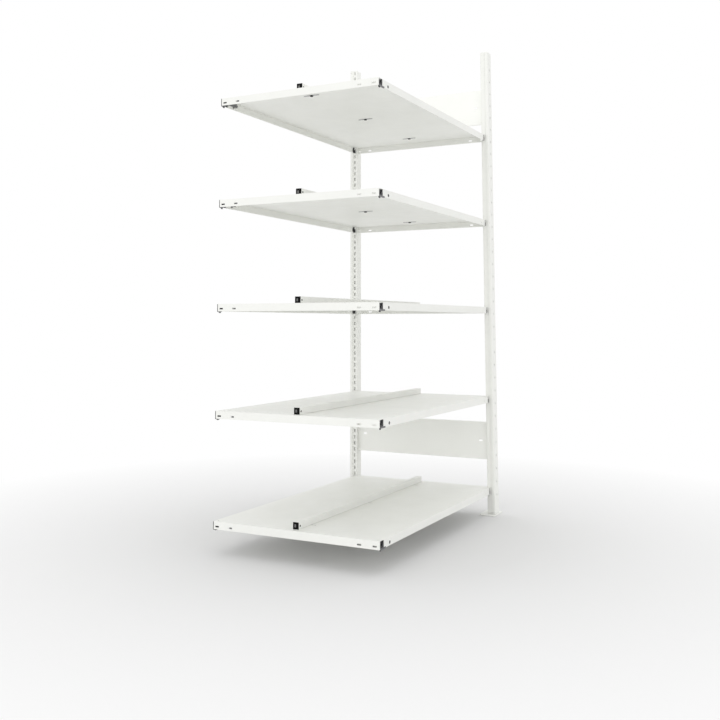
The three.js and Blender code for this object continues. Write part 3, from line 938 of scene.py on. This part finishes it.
# %% One plug and its buttons for each rail
for level in range(1, len(SHELF_NAMES) + 1):
    top = SHELF_TOP + (level - 1) * LEVEL_STEP
    plug = linked_object(f"moulded_plug_{level}", moulded_plug(f"moulded_plug_{level}", top))
    buttons = linked_object(f"snap_buttons_{level}", snap_buttons(f"snap_buttons_{level}", top))
    for piece in (plug, buttons):
        piece.data.materials.append(black_plastic)
        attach(piece, f"stop_{level}")
    plug.data.materials.append(painted_highlight_plastic)
    soft = plug.modifiers.new("moulded_edges", "BEVEL")
    soft.width = PLUG_ROUNDING
    soft.segments = 2
    soft.limit_method = "ANGLE"
    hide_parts(f"stop_plug_{level}")
print("plug face", round(plug_high.x - plug_low.x, 4), "m wide, pocket", POCKET)

# %% [markdown]
# ## Floor and background
#
# The photograph was taken in a white studio: white behind, a pale floor that greys a little in front
# of the bay, and a soft shadow under the lowest tray. A large floor plane and a bright world give
# that. The camera and the gloss see pure white where they look past the floor, by asking Light Path
# what kind of ray it is; other rays see a world that is a touch darker, so the steel is lit evenly.
# The undersides of the trays are nearly as light as their tops, so the floor sends back a little
# more light than the camera sees of it, as white studio paper does. Away from the bay the floor
# fades into the white behind it.

# %% Floor and world
FLOOR_HEIGHT = CAD_BOX[0].z
FLOOR_REACH = 14.0
FLOOR_GAP = 0.0005
SEEN_FLOOR = (0.785, 0.785, 0.785)
BOUNCING_FLOOR = (0.92, 0.92, 0.92)
BAY_MIDDLE = (0.0, 0.5, 0.0)
FADE_FROM, FADE_TO = 0.6, 2.0


def studio_floor():
    mesh = bpy.data.meshes.new("studio_floor")
    corners = [(-FLOOR_REACH, -FLOOR_REACH), (FLOOR_REACH, -FLOOR_REACH),
               (FLOOR_REACH, FLOOR_REACH), (-FLOOR_REACH, FLOOR_REACH)]
    mesh.from_pydata([(x, y, FLOOR_HEIGHT - FLOOR_GAP) for x, y in corners], [], [(0, 1, 2, 3)])
    floor = linked_object("studio_floor", mesh)
    return floor


def floor_paint():
    material, tree, shader, place = new_material("studio_floor_paint")
    shader.inputs["Roughness"].default_value = 0.9
    shader.inputs["Specular IOR Level"].default_value = 0.1
    shader.inputs["Base Color"].default_value = (*SEEN_FLOOR, 1.0)
    bounce = tree.nodes.new("ShaderNodeBsdfDiffuse")
    bounce.inputs["Color"].default_value = (*BOUNCING_FLOOR, 1.0)
    distance = tree.nodes.new("ShaderNodeVectorMath")
    distance.operation = "LENGTH"
    centre = tree.nodes.new("ShaderNodeMapping")
    centre.inputs["Location"].default_value = [-value for value in BAY_MIDDLE]
    tree.links.new(place, centre.inputs["Vector"])
    tree.links.new(centre.outputs["Vector"], distance.inputs[0])
    fade = remap(tree, distance.outputs["Value"], 0.0, 1.0, FADE_FROM, FADE_TO)
    white = tree.nodes.new("ShaderNodeEmission")
    mixed = tree.nodes.new("ShaderNodeMixShader")
    tree.links.new(fade, mixed.inputs["Fac"])
    tree.links.new(shader.outputs["BSDF"], mixed.inputs[1])
    tree.links.new(white.outputs["Emission"], mixed.inputs[2])
    seen = tree.nodes.new("ShaderNodeLightPath")
    only_seen = tree.nodes.new("ShaderNodeMixShader")
    looked_at = math_node(tree, "MAXIMUM", seen.outputs["Is Camera Ray"], seen.outputs["Is Glossy Ray"])
    tree.links.new(looked_at, only_seen.inputs["Fac"])
    tree.links.new(bounce.outputs["BSDF"], only_seen.inputs[1])
    tree.links.new(mixed.outputs["Shader"], only_seen.inputs[2])
    tree.links.new(only_seen.outputs["Shader"], tree.nodes["Material Output"].inputs["Surface"])
    return material


floor = studio_floor()
floor.data.materials.append(floor_paint())
print("floor at", round(FLOOR_HEIGHT, 4), "m, fading from", FADE_FROM, "to", FADE_TO, "m")

# %% World
WORLD_FILL = 0.97


def background(tree, strength):
    node = tree.nodes.new("ShaderNodeBackground")
    node.inputs["Color"].default_value = (1.0, 1.0, 1.0, 1.0)
    node.inputs["Strength"].default_value = strength
    return node.outputs["Background"]


def studio_world():
    world = bpy.data.worlds.new("studio_world")
    world.use_nodes = True
    tree = world.node_tree
    tree.nodes.clear()
    path = tree.nodes.new("ShaderNodeLightPath")
    seen = math_node(tree, "MAXIMUM", path.outputs["Is Camera Ray"], path.outputs["Is Glossy Ray"])
    seen = math_node(tree, "MAXIMUM", seen, path.outputs["Is Transmission Ray"])
    mixed = tree.nodes.new("ShaderNodeMixShader")
    tree.links.new(seen, mixed.inputs["Fac"])
    tree.links.new(background(tree, WORLD_FILL), mixed.inputs[1])
    tree.links.new(background(tree, 1.0), mixed.inputs[2])
    output = tree.nodes.new("ShaderNodeOutputWorld")
    tree.links.new(mixed.outputs["Shader"], output.inputs["Surface"])
    bpy.context.scene.world = world


studio_world()
print("world fill", WORLD_FILL)

# %% [markdown]
# ## Lamps
#
# Three large soft lamps help the world. The one far in front lights the near faces and, between the
# trays, the end frame. A weak one nearer the bay gives the trays' tops a slope of light, and the one
# overhead draws the shadow on the floor. They are weak, so that white paint stays just under white.

# %% Soft lamps
AIM = (0.0, 0.5, 0.8)
LAMPS = {
    "front_softbox": ((0.5, -19.5, 1.0), 6.0, 420.0),
    "upper_softbox": ((0.0, -6.0, 2.2), 2.5, 14.0),
    "top_softbox": ((0.3, 0.6, 4.5), 3.0, 16.0),
}

for name, (place, size, power) in LAMPS.items():
    light = bpy.data.lights.new(name, "AREA")
    light.shape = "SQUARE"
    light.size = size
    light.energy = power
    lamp = linked_object(name, light)
    lamp.location = place
    lamp.rotation_euler = (Vector(AIM) - Vector(place)).to_track_quat("-Z", "Y").to_euler()
    print(name, size, "m,", power, "W")
